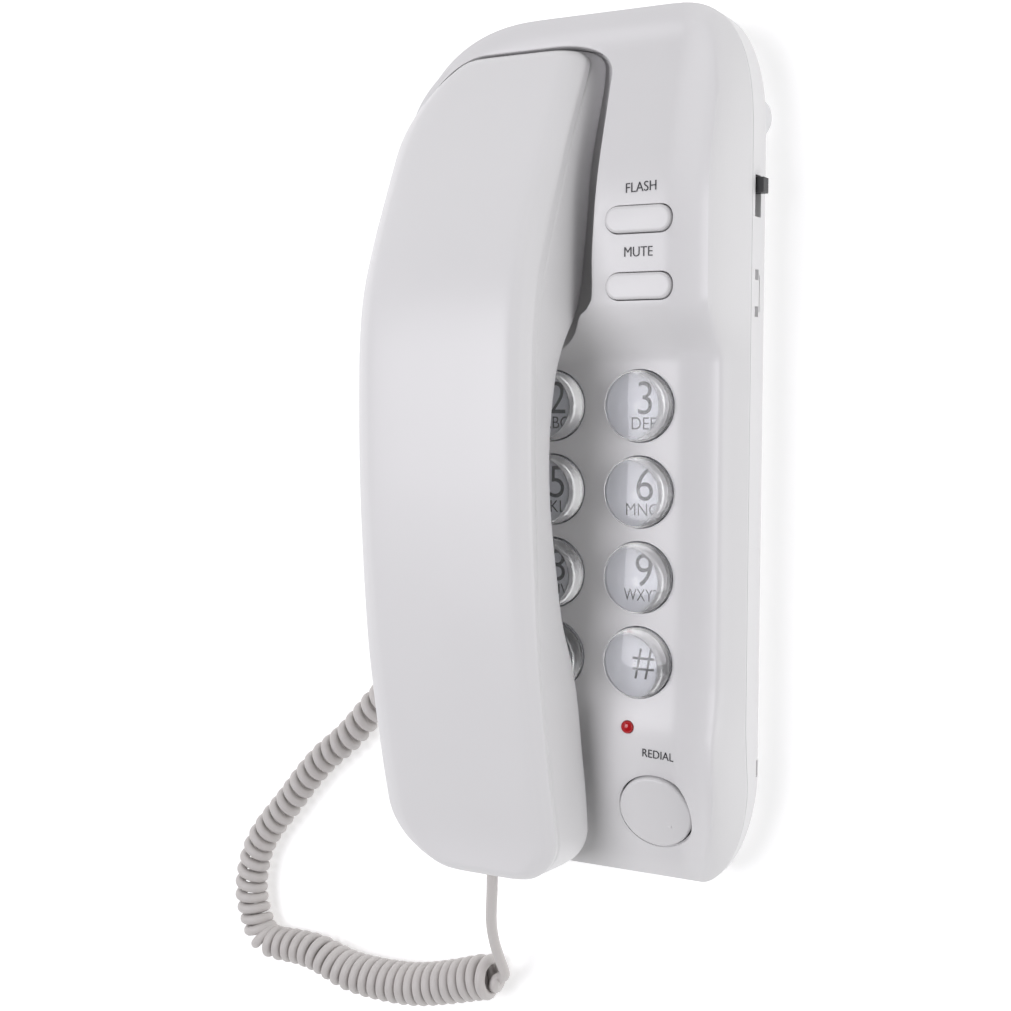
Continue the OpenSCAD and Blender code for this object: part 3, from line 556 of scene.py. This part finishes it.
def make_back_cover():
    """Tray under the seam, with its edges rounded, a catch slit and a switch slot in its right side."""
    def ring(inset, z):
        return [(x, y, z if z is not None else float(seam_z(y)) - 0.12) for x, y in outline(inset)]
    outer = [ring(1.0, 8.0), ring(0.5, 8.15), ring(0.15, 8.5), ring(0.0, 9.1), ring(0.0, 10.5)]
    rim = [[(x, y, float(seam_z(y)) - 0.35) for x, y in outline(0.0)], ring(0.3, None),
           ring(WALL, None), [(x, y, 10.2) for x, y in outline(WALL)]]
    cover = loft("back_cover", outer + rim)
    slots = [box_solid("switch_slot", (41, 55.6, 12.0), (47, 64.9, 16.0)),
             box_solid("catch_low", (44, 33.2, 13.0), (47, 35.6, 15.4)),
             box_solid("catch_high", (44, 41.5, 13.0), (47, 43.9, 15.4)),
             box_solid("catch_line", (44.4, 34.4, 12.1), (47, 42.7, 12.6)),
             box_solid("low_slot", (43.8, -74, 8.7), (47, -70, 10.0)),
             box_solid("jack_slot", (-48, -50.6, 10.2), (-42, -39.4, 17.95)),
             box_solid("line_slot", (15.9, 101, 10.2), (28.1, 108, 17.95))]
    for x, y in ((0, -41.5), (0, 41.5)):
        slots.append(revolve("keyhole", [(0, 5), (4.2, 5), (4.2, 12), (0, 12)], (x, y, 0), steps=40))
        slots.append(box_solid("keyway", (x - 2, y, 5), (x + 2, y + 11, 12)))
    for x, y in ((-38, -78), (38, -78), (-38, 22), (38, 84)):
        slots.append(revolve("screw_hole", [(0, 5), (3, 5), (3, 10), (0, 10)], (x, y, 0), steps=32))
    for k in range(6):
        a = math.pi / 3 * k
        slots.append(revolve("sound_hole", [(0, 5), (1, 5), (1, 12), (0, 12)],
                             (26 + 5 * math.cos(a), 76 + 5 * math.sin(a), 0), steps=20))
    for cut in slots:
        boolean(cover, cut)
    cover.data.polygons.foreach_set("use_smooth", [True] * len(cover.data.polygons))
    cover.data.set_sharp_from_angle(angle=math.radians(32))
    dress(cover, "shell")
    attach(cover, "base")
    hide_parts("base_back_cover")


def box_solid(name, low, high):
    (a, b, c), (d, e, f) = low, high
    return loft(name, [[(a, b, z), (d, b, z), (d, e, z), (a, e, z)] for z in (c, f)])


make_back_cover()


def make_feet():
    rows = [(0, 0), (2.6, 0), (3.6, 0.2), (4.5, 0.75), (5.1, 1.6), (5.45, 2.7), (5.6, 4.0), (5.6, 8.0), (0, 8.0)]
    places = [(38.8, 79.4), (-36, 79.4), (32, -84), (-32, -84)]
    feet = [revolve(f"foot_{i}", rows, (x, y, 0), steps=64, sharp=50) for i, (x, y) in enumerate(places)]
    feet = dress(join("stand_feet", feet), "foot")
    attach(feet, "base")
    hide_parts("rubber_feet")


make_feet()


# ---- keys and buttons ----
def lettering(name, text, place, size, level, turn=0.0, squeeze=0.9, thick=0.03):
    """Print on the surface level(x, y), mostly above it; place is the middle of its foot."""
    data = bpy.data.curves.new(name, "FONT")
    data.body, data.align_x = text, "CENTER"
    data.size = size * MM / 0.7
    data.extrude = thick / 2 * MM
    data.offset = -0.01 * size * MM
    obj = bpy.data.objects.new(name, data)
    bpy.context.scene.collection.objects.link(obj)
    bpy.context.view_layer.update()
    mesh = bpy.data.meshes.new_from_object(obj.evaluated_get(bpy.context.evaluated_depsgraph_get()))
    bpy.data.objects.remove(obj)
    mesh.transform(Matrix.Rotation(turn, 4, "Z") @ Matrix.Diagonal((squeeze, 1, 1, 1)))
    for v in mesh.vertices:
        v.co.x += place[0] * MM
        v.co.y += place[1] * MM
        v.co.z += (float(level(v.co.x / MM, v.co.y / MM)) + 0.005 + thick / 2) * MM
    letters = bpy.data.objects.new(name, mesh)
    bpy.context.scene.collection.objects.link(letters)
    return dress(letters, "ink")


def on_label(x, y):
    return LABEL_Z - 0.045


def make_key(i):
    x, y = key_place(i)
    body = "key_" + KEYS[i]
    rows = [(0, 17.3), (KEY_R + 0.75, 17.3), (KEY_R + 0.75, 18.4), (KEY_R - 0.1, 18.4), (KEY_R - 0.1, 20.9),
            (KEY_R - 0.3, LABEL_Z - 0.05), (0, LABEL_Z - 0.05)]
    base = dress(revolve("keytop_" + KEYS[i], rows, (x, y, 0), steps=64, sharp=35), "label")
    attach(base, body)
    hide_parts(body)
    sign = {"star": "*", "hash": "#"}.get(KEYS[i], KEYS[i])
    high = {"star": (-4.6, 9.4), "hash": (-3.0, 7.3)}.get(KEYS[i], (-1.9, 7.7))
    print_ = lettering("print_" + KEYS[i], sign, (x + 1.6, y + high[0]), high[1], on_label)
    if LETTERS[i]:
        small = lettering("small_" + KEYS[i], LETTERS[i], (x + 1.2, y - 5.4), 2.9, on_label,
                          squeeze=0.9 if len(LETTERS[i]) < 4 else 0.74)
        print_ = join("print_" + KEYS[i], [print_, small])
    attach(print_, body)
    cap = dress(revolve("cap_" + KEYS[i], [(0, 0)] + dome_rows(KEY_R, 1.5, 0.5, 0.4), (x, y, LABEL_Z)), "clear")
    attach(cap, body)
    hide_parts("key_cap_" + KEYS[i])


for index in range(12):
    make_key(index)


def make_pill(name, place, body):
    z = float(face_at(*place))
    rows = [(0.6, z - 6), (0.6, z - 5), (0, z - 5), (0, z + 0.5), (-0.05, z + 0.75), (-0.18, z + 0.95),
            (-0.4, z + 1.07), (-0.75, z + 1.12)]
    pill = dress(pill_solid(name, place, rows), "button")
    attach(pill, body)
    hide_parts(name[:-4] + "button")


make_pill("flash_pill", FLASH, "flash")
make_pill("mute_pill", MUTE, "mute")


def make_redial():
    rows = [(0, -1.8)] + [(r, z - 1.8) for r, z in dome_rows(9.05, 2.9, 0.6, 0.12)]
    button = revolve("redial_cap", rows, REDIAL, REDIAL_TILT, sharp=45)
    turn = Matrix.Rotation(REDIAL_TILT, 3, "X")
    dot = revolve("redial_dot", [(0.42, -0.1), (0.42, 0.1), (0.3, 0.2), (0, 0.24)],
                  turn @ Vector((3.6, -3.2, 1.15)) + Vector(REDIAL), REDIAL_TILT, steps=20)
    button = dress(join("redial_cap", [button, dot]), "button")
    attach(button, "redial")
    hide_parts("redial_button")


make_redial()


def make_led():
    rows = [(1.5, -3.5), (1.5, 0.15)] + [(1.5 * math.cos(a), 0.15 + 0.75 * math.sin(a))
                                        for a in np.linspace(0.2, math.pi / 2, 7)]
    led = dress(revolve("led_lens", [(0, -3.5)] + rows, (*LED, float(face_at(*LED))), steps=40), "led")
    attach(led, "base")
    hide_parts("status_led")


make_led()


def make_prints():
    parts = []
    for name, text, x, y, size, turn in (("flash_print", "FLASH", 22.7, 61.0, 2.25, 2.7),
                                         ("mute_print", "MUTE", 22.2, 46.6, 2.25, 0.0),
                                         ("redial_print", "REDIAL", 25.0, -69.3, 2.0, -3.3)):
        parts.append(lettering(name, text, (x, y), size, face_at, math.radians(turn), 0.86, 0.14))
    prints = join("face_prints", parts)
    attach(prints, "base")


make_prints()


# ---- handset ----
HS_X, HS_W, HS_TOP, HS_LOW = -17.75, 22.75, 96.6, -99.5
CROWN = [(-105, 36.2), (-89, 36.8), (-74, 40.6), (-59, 44), (-44, 46.8), (-29, 49), (-9, 50.8),
         (6, 51.3), (19, 51.4), (29, 51), (39, 49.5), (49, 46.5), (61, 41), (76, 33), (91, 25), (97, 21.8)]
PART = [(-105, 32.4), (-89, 33.5), (-74, 37), (-59, 40.3), (-44, 43), (-29, 44.3), (-9, 45.5),
        (6, 45.8), (19, 45.5), (29, 44.8), (39, 43), (49, 39), (61, 33.5), (76, 26.5), (91, 18), (97, 15.8)]
UNDER = [(-105, 18.2), (-91, 18.2), (-79, 19), (-71, 20.3), (-63, 21.7), (-55, 23.6), (-47, 26.3),
         (-39, 29.5), (-29, 32), (-9, 36.3), (6, 36.5), (19, 33.6), (24, 31.2), (29, 27.4), (34, 22.6),
         (39, 19.8), (49, 17.6), (61, 15.7), (76, 14.4), (91, 13.4), (97, 13.2)]
BACK_PROFILE = [(0, 1), (0.35, 1), (0.62, 0.93), (0.8, 0.86), (0.94, 0.76), (0.99, 0.5), (1.0, 0)]
FRONT_PROFILE = [(0, 1), (0.3, 1), (0.6, 1), (0.86, 0.985), (0.96, 0.955), (0.99, 0.92), (1.0, 0.88)]
# How far the front shell's right side flares out, from the seam to its lower edge
FLARE = [(-105, 2), (-91, 1.8), (-71, 1.2), (-49, 1), (-32, 0), (64, 0), (70, 0.35), (76, 1.1), (82, 2),
         (88, 2.8), (97, 3.2)]


def hs_half(y, top, low):
    return (HS_W - corner_in(y - (HS_TOP - top[1]), *top) - corner_in(HS_LOW + low[1] - y, *low))


def end_full(y, r):
    q = min(r, y - HS_LOW, HS_TOP - y)
    return max(0.0, 1 - (1 - q / r) ** 2.2) ** (1 / 2.2)


def handset_shell(name, edge, section, gap, flares):
    """One handset shell; section is a smooth run of (fraction of half width, fraction of height)."""
    rings = []
    for y in rows_along(HS_LOW, HS_TOP, 1.6, 8.0):
        seam = float(curve(PART, y)) + gap
        height = (float(curve(edge, y)) - seam) * max(0.02, end_full(y, 2.0))
        out = float(curve(FLARE, y)) if flares else 0.0
        wr, wl = float(hs_half(y, (9, 5.5, 2.6), (11, 11, 2))), float(hs_half(y, (20, 24, 2), (22, 16, 2)))
        ring = [(HS_X + wr * w + out * h * (w > 0.45), y, seam + height * h) for w, h in section]
        ring += [(HS_X - wl * w, y, seam + height * h) for w, h in section[-2::-1]]
        rings.append(ring)
    return loft(name, rings)


def section_curve(table, steps):
    """Smooth section from the seam to the middle, from rows of (height, width) fractions."""
    s = np.linspace(0, 1, steps)
    p = smooth_route([(h, w, 0) for h, w in table], 0.02)
    seg = np.concatenate([[0], np.cumsum(np.linalg.norm(np.diff(p, axis=0), axis=1))])
    h = np.interp(s * seg[-1], seg, p[:, 0])
    w = np.interp(s * seg[-1], seg, p[:, 1])
    return list(zip(np.clip(w, 0, 1), np.clip(h, 0, 1)))


def make_handset():
    back = handset_shell("handset_back", CROWN, [(0.985, 0.0)] + section_curve(BACK_PROFILE, 40)[1:], 0.08, False)
    front_section = [(0.985, 0.0)] + section_curve(FRONT_PROFILE, 32)[1:] + [(0.4, 1.0), (0.0, 1.0)]
    front = handset_shell("handset_front", UNDER, front_section, -0.08, True)
    for shell, node in ((back, "handset_back_shell"), (front, "handset_front_shell")):
        shell.data.set_sharp_from_angle(angle=math.radians(50))
        dress(shell, "shell")
        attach(shell, "handset")
        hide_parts(node)


make_handset()


# ---- carried-over CAD nodes ----
def dress_cad(material_name, *nodes):
    for node in nodes:
        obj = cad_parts[node]
        for s in obj.material_slots:
            s.material = MATERIALS[material_name]


dress_cad("silicone", "keypad_membrane")
dress_cad("board", "main_pcb")
dress_cad("speaker", "ringer_speaker", "earpiece_speaker", "microphone")
dress_cad("black", "line_jack", "base_cord_jack", "hook_switch", "ringer_switch", "handset_cord_jack",
          "ringer_switch_knob")
dress_cad("steel", "hook_spring", "base_screws", "pcb_screws", "handset_screws", "handset_weight")
dress_cad("button", "hook_plunger")
dress_cad("plug", "cord_plug_base", "cord_plug_handset")


# ---- floor and light ----
def make_stage():
    """A white light table, lit from below."""
    data = bpy.data.meshes.new("floor")
    size = 3.0
    data.from_pydata([(-size, -size, 0), (size, -size, 0), (size, size, 0), (-size, size, 0)], [], [(0, 1, 2, 3)])
    floor = bpy.data.objects.new("floor", data)
    bpy.context.scene.collection.objects.link(floor)
    floor.data.materials.append(material("floor", (0.8, 0.8, 0.8), 0.8, mottle=0.005,
                                         Emission_Color=(1, 1, 1, 1), Emission_Strength=0.45))


def area_light(name, place, target, size, power, colour):
    data = bpy.data.lights.new(name, "AREA")
    data.shape, data.size, data.energy, data.color = "DISK", size, power, colour
    lamp = bpy.data.objects.new(name, data)
    lamp.location = place
    lamp.rotation_euler = (Vector(target) - Vector(place)).to_track_quat("-Z", "Y").to_euler()
    bpy.context.scene.collection.objects.link(lamp)


def make_light():
    """A round soft box above, a little to the left, in a white tent that is darker overhead."""
    world = bpy.data.worlds.new("studio")
    bpy.context.scene.world = world
    world.use_nodes = True
    nodes, links = world.node_tree.nodes, world.node_tree.links
    place, split = nodes.new("ShaderNodeTexCoord"), nodes.new("ShaderNodeSeparateXYZ")
    fade = nodes.new("ShaderNodeMapRange")
    fade.interpolation_type = "SMOOTHSTEP"
    for key, value in (("From Min", 0.25), ("From Max", 0.75), ("To Min", 1.02), ("To Max", 0.1)):
        fade.inputs[key].default_value = value
    links.new(place.outputs["Generated"], split.inputs["Vector"])
    links.new(split.outputs["Z"], fade.inputs["Value"])
    links.new(fade.outputs["Result"], nodes["Background"].inputs["Strength"])
    nodes["Background"].inputs["Color"].default_value = (1, 1, 1, 1)
    area_light("key_light", (-0.34, 0.06, 1.0), (0, 0.0, 0.02), 0.68, 6.6, (1.0, 0.985, 1.03))
    area_light("right_fill", (0.55, 0.0, 0.24), (0, 0.0, 0.02), 0.4, 0.6, (1.0, 0.99, 1.02))


make_stage()
make_light()
bpy.context.scene.view_settings.view_transform = "Standard"
